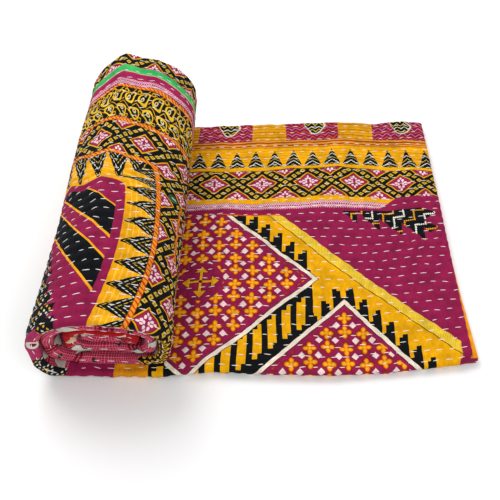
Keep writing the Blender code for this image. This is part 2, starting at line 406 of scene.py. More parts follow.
def square_size(local, which="MAXIMUM"):
    """Distance from the middle along the longer axis, the same all round a square, or the shorter."""
    sides = add("SeparateXYZ", add("VectorMath ABSOLUTE", local), out=slice(2))
    return add("Math " + which, *sides)


def dots(place, half, size):
    """Small diamonds in a square grid."""
    return where((diamond_size(repeated(place, half, half)), None, size))


def zigzags(along, across, pitch, depth, repeat, shift, width):
    """Zigzag lines along the cloth, one each repeat across it."""
    wave = add("Math PINGPONG", along, pitch / 2)
    level = add("Math MULTIPLY_ADD", wave, 2 * depth / pitch, across)
    folded = add("Math PINGPONG", add("Math", level, shift), repeat / 2)
    return where((folded, None, width / 2))


def lace(along, across, low, high, repeat, ink, ground):
    """A band of fine lace: two rows of zigzags that cross."""
    zone = where((across, low, high))
    nets = (zigzags(add("Math", along, start), across, 5.6, 3.4, repeat, 0.4, 1.3) for start in (0, 2.8))
    return paint(ground, *((ink, zone, net) for net in nets))


def nearest_drop(local, drops):
    """Distance to the nearest of some drops (centre x, y, half width, half height), 1 on their edges."""
    nearest = None
    for x, y, wide, tall in drops:
        scaled = add("VectorMath MULTIPLY_ADD", local, (1 / wide, 1 / tall, 0), (-x / wide, -y / tall, 0))
        reach = add("VectorMath LENGTH", scaled)
        nearest = reach if nearest is None else add("Math MINIMUM", nearest, reach)
    return nearest


def lozenge_lattice(place, middle, pitch, tall, reach=0.60):
    """Magenta lozenges with cream petals, on black diagonal bands of small yellow squares.

    middle is the centre of one lozenge, pitch the distance between two along the cloth, and tall their
    distance across it. On the diagonal axes they are squares, two units apart, and reach is half their side.
    """
    local = add("VectorMath", place, (-middle[0], -middle[1], 0))
    axes = (add("VectorMath DOT_PRODUCT", local, (2 / pitch, rise / tall, 0)) for rise in (2, -2))
    diagonal = add("CombineXYZ", *axes, 0)
    cell = add("VectorMath WRAP", diagonal, (0.4, 0.4, 1), (0, 0, -1))
    cell = square_size(add("VectorMath", cell, (-0.2, -0.2, 0)))
    signed = add("VectorMath WRAP", diagonal, (1, 1, 1), (-1, -1, -1))
    size = square_size(signed)
    row = where((size, 0.8, None))
    wide, high = 0.15 * pitch / reach, 0.15 * tall / reach
    x = add("VectorMath DOT_PRODUCT", signed, (wide, wide, 0))
    y = add("VectorMath DOT_PRODUCT", signed, (high, -high, 0))
    petals = nearest_drop(add("VectorMath ABSOLUTE", add("CombineXYZ", x, y, 0)), (
        (9.2, 0, 2.3, 1.2), (5.4, 1.9, 1.9, 1.35), (2.5, 0.9, 1.2, 0.9), (0, 8, 1.2, 1.9),
        (2.3, 4.9, 1.5, 1.8),
    ))
    return paint(
        BLACK, (OCHRE, row, (cell, None, 0.125)), ("#6E5216", row, (cell, None, 0.045)),
        (YELLOW, (size, None, reach)), (BRICK, (size, None, reach - 0.07)),
        ("#96204E", (size, None, reach - 0.13)), ("#EFCFD2", (petals, None, 1)),
    )


def rope(along, depth, width, ground):
    """A twisted cord: orange and yellow slanting strokes between thin dark edges."""
    edge = width / 2 + 0.7
    stroke = add("Math PINGPONG", add("Math MULTIPLY_ADD", depth, 0.9, along), 2.6)
    band = where((depth, -width / 2, width / 2))
    strokes = ("#C63E12", band), ("#EA9420", band, (stroke, 1, None))
    return paint(ground, (BRICK, (depth, -edge, edge)), *strokes)


# The border's bands, across the cloth in mm
LACE, LOZENGES, TRIANGLES, STRIPES, PANELS_FROM = (31.5, 41.5), (49.5, 99), (105, 141), (141, 155), 155


def border_triangles(along, across, ground):
    """Black triangles along the yellow band, with cream and ochre chevrons."""
    pitch, tall = 25.6, 31
    depth = add("Math", across, -TRIANGLES[0])
    spread = add("Math PINGPONG", add("Math", along, 4 * pitch - 74.8), pitch / 2)
    edge = add("Math MULTIPLY_ADD", spread, tall / 11.8, depth)
    shape = where((edge, None, tall), (depth, 0, None))
    chevron = add("Math MULTIPLY_ADD", spread, 0.75, depth)
    ragged = add("Math MULTIPLY_ADD", add("Math PINGPONG", along, 1.3), 0.7, chevron)
    colour = paint(ground, (BLACK, shape))
    for start, ink, width in ((2.5, "#E6E6DC", 1.15), (8.5, OCHRE, 1)):
        folded = add("Math PINGPONG", add("Math", ragged, start), 6)
        colour = paint(colour, (ink, shape, (folded, None, width / 2)))
    return colour


def border_panels(place, along, across, ground):
    """Plum panels of zigzags between yellow blocks, each panel with a black paisley cut off by the fold."""
    half = 60.5
    top = where((across, PANELS_FROM, None))
    # Darker lines along the yellow blocks: painted shade of the sewing's puckers.
    painted_pucker_ripple = add("Math PINGPONG", across, 2.7)
    centred = add("Math PINGPONG", add("Math", along, 4 * half - 108.5), half)
    panel = where(top, (centred, None, 37))
    drop = repeated(place, half, 40, (110.5 - 4 * half, 184))
    turned = add("VectorRotate", drop, (0, 0, 0), (0, 0, 1), math.radians(40), rotation_type="AXIS_ANGLE")
    x, y = add("SeparateXYZ", turned, out=slice(2))
    squeezed = add("Math MULTIPLY", y, add("Math MULTIPLY_ADD", x, -0.035, 1))
    body = add("CombineXYZ", add("Math MULTIPLY", x, 0.68), squeezed, 0)
    size = add("VectorMath LENGTH", body)
    leaf = where(panel, (size, None, 9.9))
    return paint(
        ground, ("#D6960A", top), ("#AE6A0C", top, (painted_pucker_ripple, None, 0.6)), ("#84163E", panel),
        ("#D27CA0", panel, zigzags(along, across, 11.5, 5, 12, 0, 1.3)),
        ("#CE5414", panel, zigzags(along, across, 11.5, 5, 12, 6, 1.5)),
        ("#CFC9AC", panel, (size, None, 11.2)), (BLACK, leaf),
        ("#DDD9C8", leaf, zigzags(along, across, 10, 4.5, 13, 0, 1.6)),
        (OCHRE, leaf, zigzags(along, across, 10, 4.5, 13, 6.5, 1.5)),
    )


def border_print(place, along, across):
    """Block-printed cotton, border: a lace edging, a band of lozenges, triangles, stripes and panels."""
    colour = paint(YELLOW, ("#9A2A5C", (across, None, LACE[1])))
    colour = lace(along, across, *LACE, 4.6, "#E6BFC4", colour)
    lattice = lozenge_lattice(place, (98.5, 75.5), 61, 52, 0.66)
    # Darker lines along the yellow band: painted shade of the sewing's puckers.
    painted_pucker_ripple = add("Math PINGPONG", across, 2.5)
    band = where((across, *TRIANGLES))
    colour = paint(
        colour, (lattice, (across, *LOZENGES)), ("#5A3A10", (across, 98.4, 99.6)),
        ("#EBA806", band), ("#D08A0C", band, (painted_pucker_ripple, None, 0.55)),
    )
    colour = border_triangles(along, across, colour)
    stripe = add("Math PINGPONG", add("Math", across, -STRIPES[0]), 2.4)
    band = where((across, *STRIPES))
    colour = paint(
        colour, ("#CC7A14", band), ("#8E2E10", band, (stripe, None, 0.75)),
        ("#E0AC50", band, (stripe, 2, None)),
    )
    colour = border_panels(place, along, across, colour)
    # Towards the right end the field's plum is sewn over the lace and the yellow line
    seam = add("MapRange", along, 308, 334, 31.5, 52.5)
    return paint(colour, (MAGENTA, (add("Math SUBTRACT", across, seam), None, 0)))


def edge_distance(place, first, second):
    """Distance in mm from the line through two points of the print, above 0 on its left."""
    (ax, ay), (bx, by) = first, second
    reach = math.hypot(bx - ax, by - ay)
    nx, ny = (ay - by) / reach, (bx - ax) / reach
    return add("VectorMath DOT_PRODUCT", place, (nx, ny, -(nx * ax + ny * ay)))


# Corners of the field's print in mm: the large diamond, the triangle below it, and the pale band beside them
DIAMOND_TOP, DIAMOND_TIP, DIAMOND_FOOT, DIAMOND_LEFT = (82, 50), (220, -72), (82, -194), (-56, -72)
TRIANGLE_TOP, TRIANGLE_LEFT, TRIANGLE_RIGHT = (254, -108), (159, -194), (327, -192.5)
BAND_START, BAND_END = (186, 21), (376, -164)
FLOWER_PITCH, FLOWER_RISE = 40, 37


def flower_lattice(place, centre):
    """Orange four-petalled flowers in pairs, one above the other, with cream diamonds between them."""
    colour = MAGENTA
    halves = FLOWER_PITCH / 2, FLOWER_RISE / 2
    rings = ((1.48, "#6E141C"), (1.28, "#AE3A0C"), (0.88, "#E8960E"), (0.40, "#F6AE26"))
    for middle in (centre, (centre[0] + halves[0], centre[1] + halves[1])):
        local = add("VectorMath ABSOLUTE", repeated(place, *halves, middle))
        flower = add("VectorMath", local, (0, -8.3, 0))
        sides = (square_size(flower, which) for which in ("MAXIMUM", "MINIMUM"))
        petals = nearest_drop(add("CombineXYZ", *sides, 0), ((4.1, 0, 3.3, 2.6), (0, 0, 2.2, 2.2)))
        diamond = diamond_size(add("VectorMath", local, (-8.9, 0, 0)))
        flowers = ((ink, (petals, None, reach)) for reach, ink in rings)
        colour = paint(colour, *flowers, ("#E9D3CC", (diamond, None, 4.1)))
    return colour


def arrow_cross(place, ground):
    """A cross of four arrows on a bare plum ground, in the middle of the diamond."""
    arms = add("VectorMath", place, (-90.8, 77.3, 0))
    reach = add("VectorMath LENGTH", arms)
    long, short = (square_size(arms, which) for which in ("MAXIMUM", "MINIMUM"))
    point = add("Math MULTIPLY_ADD", short, 1.15, long)
    colour = paint(ground, (MAGENTA, (reach, None, 26)))
    for grow, ink in ((0.9, "#4E1228"), (0, "#DE9814")):
        stem = where((short, None, 1.5 + grow), (long, None, 14))
        head = where((point, None, 21 + grow), (long, 12.5 - grow, None))
        colour = paint(colour, (ink, add("Math MAXIMUM", stem, head)))
    return paint(colour, (BLACK, (reach, None, 2.2)))


def stepped_edge(position, across, pitch, slope, start, zone, ground):
    """Black along a sloping edge, with narrow black fingers that rise from it between stepped yellow bars.

    position is the distance from a finger's middle. Each bar keeps the height that the edge has at its own
    middle, and so does each finger.
    """
    finger = add("Math SNAP", add("Math", position, pitch / 2), pitch)
    top = add("Math MULTIPLY_ADD", finger, slope, across)
    number = add("Math SNAP", position, pitch)
    bar = add("Math SUBTRACT", position, number)
    height = add("Math MULTIPLY_ADD", number, slope, across)
    climb = add("Math", height, slope * pitch / 2 - start)
    left = where((bar, 2.8, 7), (climb, 12.5, None))
    right = where((bar, 6.9, pitch - 2.8), (climb, 21.5, None))
    lit = add("Math MAXIMUM", left, right)
    lit = add("Math MAXIMUM", lit, where((top, start + 33, None)))
    return paint(ground, (BLACK, zone, (lit, None, 0.5)))


def slanting_bars(place, along, across, ground):
    """The black band between the diamond and the triangle, with stepped yellow bars in it."""
    pitch, slope = 16.3, 0.716
    below = edge_distance(place, DIAMOND_FOOT, DIAMOND_TIP)
    beside = edge_distance(place, TRIANGLE_LEFT, TRIANGLE_TOP)
    band = where((below, None, 0), (beside, 0, None), (along, 90, 213))
    shifted = add("Math", along, 8.5 * pitch - 124)
    number = add("Math SNAP", shifted, pitch)
    offset = add("Math", add("Math SUBTRACT", shifted, number), -pitch / 2)
    # The bars' middles lie on the line from (124, -177) to (205, -119)
    middle = add("Math MULTIPLY_ADD", number, slope, -177 - slope * pitch * 8)
    high = add("Math SUBTRACT", across, middle)
    stepped = add("Math MULTIPLY_ADD", where((offset, 0.5, None)), -7, high)
    bar = where((offset, -4.8, 4.8), (stepped, -22, 13.5))
    return paint(ground, (BLACK, band), (YELLOW, band, bar))


def serrated_leaf(place, along, across, ground):
    """A black leaf with a toothed edge and stepped rows of dots, lying along the top of the field."""
    tooth = add("Math WRAP", add("Math", along, 17), 27, 0)
    line = add("Math MULTIPLY_ADD", along, -0.395, 27 + 0.395 * 280)
    low = add("Math MULTIPLY_ADD", tooth, -0.76, line)
    notch = add("Math PINGPONG", add("Math", across, 52), 11.5)
    tip = add("Math MULTIPLY_ADD", notch, 1.5, along)
    above = add("Math GREATER_THAN", across, low)
    shape = where(above, (across, None, 28), (tip, None, 379), (along, 256, None))
    colour = paint(ground, (BLACK, shape))
    # The dots are 2.6 mm apart, and a row climbs six of them after each five
    dot, run = dots(place, 1.3, 1.5), add("Math", along, 1.3)
    stair = add("Math MULTIPLY_ADD", add("Math SNAP", run, 13), -1.2, across)
    rise = where((add("Math WRAP", run, 13, 0), None, 2.6))
    for start, ink in ((1.3, "#F1EBDA"), (24.7, "#EBA01E")):
        level = add("Math WRAP", add("Math", stair, start), 46.8, 0)
        row = add("Math MAXIMUM", where((level, None, 2.6)), where(rise, (level, 31.2, None)))
        colour = paint(colour, (ink, shape, dot, row))
    return colour


def field_print(place, along, across):
    """Block-printed cotton, field: a plum ground with a large diamond of flowers in a cream outline."""
    band = edge_distance(place, BAND_START, BAND_END)
    orange = where((band, None, 0), (along, None, 377), (across, None, 23.5))
    yellow = where(orange, (across, None, 22))
    gold = where(yellow, (band, -11, 0))
    hatch = add("Math PINGPONG", along, 0.9)
    colour = paint(
        MAGENTA, (ORANGE, orange), (YELLOW, yellow), (PALE_GOLD, gold),
        ("#CBA128", gold, (hatch, None, 0.28)),
    )
    # Black fingers rise along the diamond, and out from the triangle's point on both sides
    zone = where(yellow, (band, None, -12))
    pitch, slope, turn = 15, 0.884, 219
    before = 20 * pitch - 152.5
    colour = stepped_edge(add("Math", along, before), across, pitch, slope, 50 + slope * (82 + before),
                          where(zone, (along, None, turn)), colour)
    pitch, slope = 13.6, 1.158
    before = 4 * pitch - 9.7
    aside = add("Math", add("Math ABSOLUTE", add("Math", along, -254)), before)
    colour = stepped_edge(aside, across, pitch, slope, slope * before - 108,
                          where(zone, (along, turn, None)), colour)
    colour = paint(colour, ("#5A3A0C", yellow, (band, -12, -11)))
    colour = slanting_bars(place, along, across, colour)
    upper, lower, left, near, far = (edge_distance(place, *ends) for ends in (
        (DIAMOND_TIP, DIAMOND_TOP), (DIAMOND_FOOT, DIAMOND_TIP), (DIAMOND_LEFT, DIAMOND_FOOT),
        (TRIANGLE_TOP, TRIANGLE_LEFT), (TRIANGLE_RIGHT, TRIANGLE_TOP),
    ))
    diamond = add("Math MINIMUM", add("Math MINIMUM", upper, lower), left)
    triangle = add("Math MINIMUM", near, far)
    low = where((across, None, 21))
    edges = ((-5.4, BLACK), (-4.7, CREAM), (-0.3, "#200C18"), (0.6, MAGENTA))
    for shape, centre in ((diamond, (190, -72)), (triangle, (193, -78.5))):
        outline = ((ink, low, (shape, depth, None)) for depth, ink in edges)
        flowers = flower_lattice(place, centre)
        colour = paint(colour, *outline, (flowers, (shape, 4, None), (across, None, 26)))
    colour = arrow_cross(place, colour)
    colour = serrated_leaf(place, along, across, colour)
    # Under the roll's mouth the front fold is plum, then yellow, then black with one stepped bar
    fold = where((across, None, -150), (along, None, 60))
    return paint(
        colour, (MAGENTA, fold), ("#DC8F12", fold, (along, 8, None)), (BLACK, fold, (along, 43, None)),
        (YELLOW, fold, (along, 47, 53), (across, -200, -187)),
        (YELLOW, fold, (along, 52, 59), (across, -196, -182)),
    )


# Where the roll's bands towards the back start, across the cloth in mm, and where the green one ends
SCROLLS_FROM, ROLL_LACE_FROM, PLUM_FROM, LINE_FROM, GREEN_FROM, GREEN_TO = 84, 136, 145, 157, 158.6, 169


def scrolls(place, along, across, ground):
    """Two rows of yellow paisley scrolls with pale hearts, leaning along the band, and curls between them."""
    colour = ground
    for shift in (0, 11):
        vine = zigzags(add("Math", along, shift), across, 17, 9, 22, shift, 1.3)
        colour = paint(colour, ("#D2A11C", vine, (across, SCROLLS_FROM, 130)))
    for start, level, flip in ((0, 95.5, 1), (8.5, 118.5, -1)):
        zone = where((across, level - 11.6, level + 11.6))
        local = repeated(place, 8.5, 40, (start, level))
        lean = math.radians(62 * flip)
        turned = add("VectorRotate", local, (0, 0, 0), (0, 0, 1), lean, rotation_type="AXIS_ANGLE")
        x, y = add("SeparateXYZ", turned, out=slice(2))
        bend = add("Math MULTIPLY_ADD", add("Math MULTIPLY", x, x), 0.035, y)
        bend = add("Math MULTIPLY", bend, add("Math MULTIPLY_ADD", x, 0.05, 1))
        body = add("CombineXYZ", add("Math MULTIPLY", x, 0.60), bend, 0)
        size = add("VectorMath LENGTH", body)
        heart = nearest_drop(turned, ((-3.2, 0.5, 3.6, 2), (3.6, 0.2, 1.9, 0.9)))
        curl = add("VectorMath DISTANCE", local, (6.4 * flip, -7.4 * flip, 0))
        colour = paint(
            colour, (BLACK, zone, (size, None, 6.8)), ("#E8B820", zone, (size, 4.2, 5.9)),
            ("#DCCB8A", zone, (heart, None, 1)), ("#5A420E", zone, (heart, None, 0.45)),
            ("#D9A014", zone, (curl, 2, 3.4)),
        )
    return colour


def temple_edge(arch_along, depth, ground):
    """Yellow triangles that point out to the cord, with dotted chevrons on black between them."""
    base = add("Math SUBTRACT", 31, depth)
    shifted = add("Math", arch_along, 18)
    dotted = add("Math PINGPONG", arch_along, 1.3)
    zone = where((depth, 2.6, 31), (dotted, None, 0.85))
    spread = add("Math PINGPONG", add("Math", arch_along, -6), 12)
    edge = add("Math MULTIPLY_ADD", spread, 27 / 10.8, base)
    triangle = where((edge, None, 27.5), (base, 0, None))
    # Lighter lines along the triangles: painted light on the sewing's puckers.
    painted_pucker_ripple = add("Math PINGPONG", base, 2.4)
    return paint(
        ground, (BLACK, (depth, 0, None)),
        ("#DEDDD0", zone, zigzags(shifted, base, 24, 18, 13, -2.2, 1.6)),
        (OCHRE, zone, zigzags(shifted, base, 24, 18, 13, 4.6, 1.5)),
        ("#ECA50A", triangle), ("#F2BE4A", triangle, (painted_pucker_ripple, None, 0.5)),
    )


def arch_heart(depth, slope, ground):
    """Inside the triangles: a plum line edged with gold, and slanting black stripes edged with yellow."""
    heart = where((depth, 40, None))
    lines = ((-53.5, -50), (-92, -87), (-119.5, -114.5), (-161, -155.5))
    stripes = ((-88.5, -52), (-157, -117.5))
    return paint(
        ground, (MAGENTA, (depth, 31, None)), ("#E8A012", (depth, 30.4, 31.8)),
        *(("#F0A40E", heart, (slope, *ends)) for ends in lines),
        *(("#0A0D11", heart, (slope, *ends)) for ends in stripes),
    )


def dotted_corner(place, along, across, ground):
    """At the roll's front left, a black corner with a stepped edge and zigzag rows of dots."""
    edge = add("Math MULTIPLY_ADD", add("Math SNAP", across, 15), -0.42, 93)
    tooth = add("Math MULTIPLY_ADD", add("Math WRAP", across, 15, 0), 0.5, edge)
    left = add("Math LESS_THAN", along, tooth)
    shape = where(left, (across, None, -58), (along, None, 178))
    colour, dot = paint(ground, ("#0C0F12", shape)), dots(place, 1.7, 1.65)
    for start, ink in ((0, "#D2A628"), (6.8, "#D6D3C2")):
        row = zigzags(along, add("Math", across, start), 27.2, 13.6, 20.4, 0, 3)
        colour = paint(colour, (ink, shape, dot, row))
    return colour


def roll_print(place, along, across):
    """Block-printed cotton round the roll: bands at the back, and an arch of triangles in a cord in front."""
    arch = add("Attribute", tree=place.id_data, attribute_name="arch", out=1)
    arch_along, depth, slope = add("SeparateXYZ", arch, out=slice(3))
    colour = lozenge_lattice(place, (180, 52.5), 57, 52)
    # A dark green round spot over one lozenge
    green_spot = add("VectorMath DISTANCE", place, (279, -13, 1))
    colour = paint(colour, ("#2F5A3A", (green_spot, None, 6.5)))
    colour = temple_edge(arch_along, depth, colour)
    colour = arch_heart(depth, slope, colour)
    colour = dotted_corner(place, along, across, colour)
    colour = rope(arch_along, depth, 4.6, colour)
    side_cord = rope(across, add("Math", along, -295), 4.2, colour)
    colour = paint(colour, (side_cord, (across, -100, -15)), (BLACK, (across, SCROLLS_FROM, None)))
    colour = scrolls(place, along, across, colour)
    for level, width in ((80.5, 4.6), (133, 4.4)):
        colour = rope(along, add("Math", across, -level), width, colour)
    colour = paint(colour, ("#9E2658", (across, ROLL_LACE_FROM, None)))
    colour = lace(along, across, ROLL_LACE_FROM, PLUM_FROM, 4.4, "#E4B2C0", colour)
    lattice = lozenge_lattice(place, (208, 193), 57, 46)
    # The front fold has a pale ring on plum at its left, and small scrolls at its right
    patch = where((across, None, -186), (along, 96, 156))
    ring = add("VectorMath DISTANCE", place, (128, -195, 1))
    curls = where((across, None, -190), (along, 294, None))
    curl = add("VectorMath DISTANCE", repeated(place, 4.6, 4.2), (0.8, -0.6, 0))
    return paint(
        colour, ("#A02052", (across, PLUM_FROM, None)), ("#CDBB90", (across, LINE_FROM, GREEN_FROM)),
        (GREEN, (across, GREEN_FROM, GREEN_TO)), (lattice, (across, GREEN_TO + 1, None)),
        ("#A8315E", patch), ("#D8CFC4", patch, (ring, 3.4, 7.2)), ("#2C2A26", patch, (ring, None, 2.4)),
        (BLACK, curls), ("#DAA41A", curls, (curl, 2.1, 3.5)),
    )


def check_cotton(place, along, across):
    """Woven check cotton, the quilt's other side: deep pink between paler lines, with pale patches in a dark
    rim of painted shade.
    """
    # Real lines are 1.2 mm apart: drawn 2.7 mm apart, which is as fine as shows
    lines = (where((add("Math PINGPONG", value, 1.35), None, 0.36)) for value in (along, across))
    bar = add("Math PINGPONG", add("Math", along, 12), 46)
    fine = add("Math PINGPONG", along, 2.6)
    # Each pale patch gets a dark rim: painted shade of its folds.
    patch = add("TexNoise", place, 0.05, 0, 0.5)
    return paint(
        "#9E1434", ("#D4647F", add("Math MAXIMUM", *lines)),
        ("#7E0F22", (bar, None, 9), (fine, None, 1.6)),
        ("#3A2C2A", (patch, 0.635, None)), ("#C9C2B6", (patch, 0.66, None)),
    )


def red_cotton(place, along, across):
    """Red printed cotton with cream points, on the inner wraps."""
    point = add("Math MULTIPLY_ADD", add("Math PINGPONG", along, 17), 1.1, across)
    return paint(CRIMSON, ("#D6BE9C", (point, None, -190)))


def plain_lining(place, along, across):
    """Plain dyed cotton on the faces that lie against each other, with small black sprigs."""
    return paint("#F09A18", (BLACK, (diamond_size(repeated(place, 7, 8)), 1.2, 3)))


def cotton_thread():
    """Twisted cotton thread: off-white and matt, its strands shown as a slight unevenness."""
    material, shader = start_material("twisted_cotton_thread", 0.8, 0.25)
    tree = material.node_tree
    strands = add("TexNoise", add("TexCoord", tree=tree, out=3), 900, 1, 0.5)
    shade = add("MapRange", strands, 0.3, 0.7, 0.92, 1)
    tree.links.new(add("VectorMath SCALE", linear("#F8F2EE")[:3], shade), shader.inputs["Base Color"])
    return material


PRINTS = (
    ("block_printed_border", border_print), ("block_printed_field", field_print),
    ("block_printed_roll", roll_print), ("woven_pink_check", check_cotton),
    ("red_printed_cotton", red_cotton), ("plain_dyed_lining", plain_lining),
)
BORDER, FIELD, ROLL, WOVEN, RED, LINING = range(len(PRINTS))


def flat_print(along, across):
    """Print coordinates in mm on the flat end, with the border's lines falling off towards the right end."""
    x, y = 1000 * along, 1000 * across
    fall = np.interp(x, (75, 150, 210, 260, 300, 340, 385), (0, -0.5, -1.5, -4.5, -1, 5, 9))
    fall = fall * smooth(18, 50, y) * (1 - 0.6 * smooth(100, 140, y))
    wobble = 0.8 * np.sin(x / 23 + y / 40) + 0.5 * np.sin(x / 9.5 - y / 31)
    return x + 0.6 * np.sin(y / 13 + x / 37), y + fall + wobble


def rounded_least(first, second, size):
    """The lesser of two distances, rounded off where they are equal."""
    return -size * np.logaddexp(-first / size, -second / size)


def roll_cloth_print(along, across):
    """Print coordinates in mm on the roll, and the arch's: along its cord, inwards and across its stripes."""
    s, y = 1000 * along, 1000 * across
    drop = np.interp(s, (150, 180, 215, 250, 285, 320), (0, 0, 6, 19, 28, 33))
    y_print = y + drop * np.interp(y, (-60, -10, 20, 80, 130, 190), (0, 0.6, 1, 1, 0.3, 0.2))
    y_print = y_print + 0.8 * np.sin(s / 19 + y / 33) + 0.5 * np.sin(s / 8.5 - y / 27)
    # The cord's side bows out a little, and its top climbs to the left
    side, down = 263 - 0.00136 * (y + 75) ** 2 - s, 26.5 + 14 * smooth(182, 142, s) - y_print
    depth = rounded_least(side / 1.1, down - 11 * smooth(4, 42, down), 4.0)
    arch_along = np.maximum(side, down + 12 * smooth(20, 50, down))
    # The stripes fall to the right, the lower ones more steeply
    fall = 1.2 * (213 - s)
    slope = y - fall * np.interp(y - 0.9 * fall, (-160, -51), (1.02, 0.66)) + np.sin(s / 14)
    return s, y_print, np.stack([arch_along, depth, slope], axis=-1)


def face_material(name, place, face, across, turned):
    """The material of one face of the sheet, from where it is on the cloth."""
    if name == "quilt_flat_end":
        if face in (TOP, BACK_OUT):
            return BORDER if face == BACK_OUT or across > 0.027 else FIELD
        if face in (FRONT_OUT, UNDER):
            return FIELD
        return LINING if face in (SECOND_UP, THIRD_LOW, HEM_IN, SECOND, THIRD) else WOVEN
    if name == "quilt_outer_wrap":
        # The check shows on the inner half of the front fold over the roll's top, and all round it below
        check = face == FRONT_OUT and (place > 0.93 or (turned > 0.45 and 0.30 < place < 0.66))
        return ROLL if face in (UNDER, HEM_OUT, FRONT_OUT) and not check else WOVEN
    if face in (FRONT_OUT, TOP, FRONT_OUT_BACK) and 2.18 < place < 2.78:
        return RED
    return WOVEN


def add_object(name, data):
    """A new object in the scene."""
    item = bpy.data.objects.new(name, data)
    bpy.context.scene.collection.objects.link(item)
    return item


def square_mesh(name, x_segments, y_segments, size):
    """A flat square grid."""
    bm = bmesh.new()
    bmesh.ops.create_grid(bm, x_segments=x_segments, y_segments=y_segments, size=size)
    mesh = bpy.data.meshes.new(name)
    bm.to_mesh(mesh)
    bm.free()
    return mesh


def grid_mesh(name, rows, count):
    """A grid with one row for each place, and each vertex's column and row in it."""
    mesh = square_mesh(name, count, rows - 1, 1.0)
    corner = np.zeros(len(mesh.vertices) * 3)
    mesh.vertices.foreach_get("co", corner)
    corner = corner.reshape(-1, 3)
    column = np.rint((corner[:, 0] + 1) / 2 * count).astype(int)
    row = np.rint((corner[:, 1] + 1) / 2 * (rows - 1)).astype(int)
    return mesh, column, row


def close_sheet(mesh):
    """Joins the grid's two long sides into a tube and closes its ends."""
    bm = bmesh.new()
    bm.from_mesh(mesh)
    bmesh.ops.remove_doubles(bm, verts=bm.verts, dist=1e-7)
    rims = [edge for edge in bm.edges if edge.is_boundary]
    ends = bmesh.ops.holes_fill(bm, edges=rims, sides=0)["faces"]
    for face in ends:
        face.material_index = FIELD
    for edge in rims:
        edge.smooth = False
    bmesh.ops.triangulate(bm, faces=ends)
    bmesh.ops.recalc_face_normals(bm, faces=bm.faces)
    bm.to_mesh(mesh)
    bm.free()
    mesh.polygons.foreach_set("use_smooth", np.ones(len(mesh.polygons), bool))


def write_prints(mesh, home, along, across):
    """Stores each point's place on the prints as attributes, in mm."""
    if home == TOP:
        x, y = flat_print(along, across)
        arch = np.zeros((len(x), 3))
    else:
        x, y, arch = roll_cloth_print(along, across)
    for name, values in (("print", np.stack([x, y, np.ones_like(x)], axis=-1)), ("arch", arch)):
        mesh.attributes.new(name, "FLOAT_VECTOR", "POINT").data.foreach_set("vector", values.ravel())


def unfold(mesh, columns, shown, column, row, rows):
    """A UV map that opens the sheet out, with most of its width for the faces that show."""
    surface = columns[:, :2] + columns[:, 2:4] * CLOTH / 2
    widths = np.linalg.norm(np.diff(surface, axis=0, append=surface[:1]), axis=1) * np.where(shown, 1.0, 0.12)
    spread = np.concatenate([[0], np.cumsum(widths)]) / widths.sum()
    loops = np.zeros(len(mesh.loops), int)
    mesh.loops.foreach_get("vertex_index", loops)
    uv = np.stack([spread[column[loops]], row[loops] / (rows - 1)], axis=-1)
    mesh.uv_layers.new(name="OFBake").data.foreach_set("uv", (0.01 + 0.98 * uv).ravel())
    return loops


def make_length(name, start, end, home, measured, spacing, step, lofted, materials):
    """One length of the cloth, as a closed sheet."""
    columns = section_columns(spacing)
    places = even_places(start, end, step, measured)
    along = np.interp(places, FINE, measured)
    across = across_print(columns, home)
    face = columns[:, 4].astype(int)
    shown = np.isin(face, lofted)
    from_join = np.abs(along[-1] - along) if start == -1 else np.minimum(along - along[0], along[-1] - along)
    loft = np.where(shown[None, :], puff(along[:, None], across[None, :]), 0.0)
    loft = loft * smooth(0.0, JOIN_FADE, from_join)[:, None]
    points = lay_length(columns, places, along, loft)
    rows, count = points.shape[:2]
    mesh, column, row = grid_mesh(name, rows, count)
    mesh.vertices.foreach_set("co", points[row, column % count].ravel())
    write_prints(mesh, home, -along[row] if home == TOP else along[row], across[column % count])
    loops = unfold(mesh, columns, shown, column, row, rows)
    for material in materials:
        mesh.materials.append(material)
    # Which print each face has
    turned = np.clip((FRONT_CENTRE - across) / FRONT_ARC, 0, 1)
    sides = list(zip(face, across, turned))
    kinds = np.array([[face_material(name, place, *side) for side in sides] for place in places])
    first = np.arange(0, len(loops), 4)
    low_column, low_row = (np.minimum.reduceat(value[loops], first) for value in (column, row))
    mesh.polygons.foreach_set("material_index", kinds[low_row, low_column])
    close_sheet(mesh)
    piece = add_object(name, mesh)
    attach(piece, "root")
    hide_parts("quilt")


def make_cloth():
    """The cloth's three lengths: their ends, outer face, spacing and the faces that show the sewing."""
    materials = [printed_cotton(name, draw) for name, draw in PRINTS]
    for name, ends, home, measured, spacing, step, lofted in (
        ("quilt_flat_end", JOINS[:2], TOP, OUTSIDE, sheet_spacing((TOP,), SHEET_STEP), SHEET_STEP,
         (TOP, FRONT_OUT, BACK_OUT)),
        ("quilt_outer_wrap", JOINS[1:3], UNDER, OUTSIDE, sheet_spacing((UNDER,), SHEET_STEP), SHEET_STEP,
         (UNDER, FRONT_OUT)),
        ("quilt_inner_wraps", JOINS[2:], UNDER, MIDDLE, sheet_spacing((), INNER_STEP, ENDS_SHOWN), INNER_STEP,
         (FRONT_OUT,)),
    ):
        make_length(name, *ends, home, measured, spacing, step, lofted, materials)


def face_point(place, across, home, outwards):
    """Points over the cloth's outer face, from places along and across its print."""
    side = 1 if home == TOP else -1
    turned = np.clip((FRONT_CENTRE - across) / FRONT_ARC, 0, 1) * math.pi
    beyond = across < FRONT_CENTRE - FRONT_ARC
    radius = OUTER_FOLD + outwards
    around = np.where(beyond, 2 * FRONT_CENTRE - FRONT_ARC - across, FRONT_CENTRE - np.sin(turned) * radius)
    y = np.where(across > FRONT_CENTRE, across, around)
    return strip_point(place, y, side * np.cos(turned) * radius)


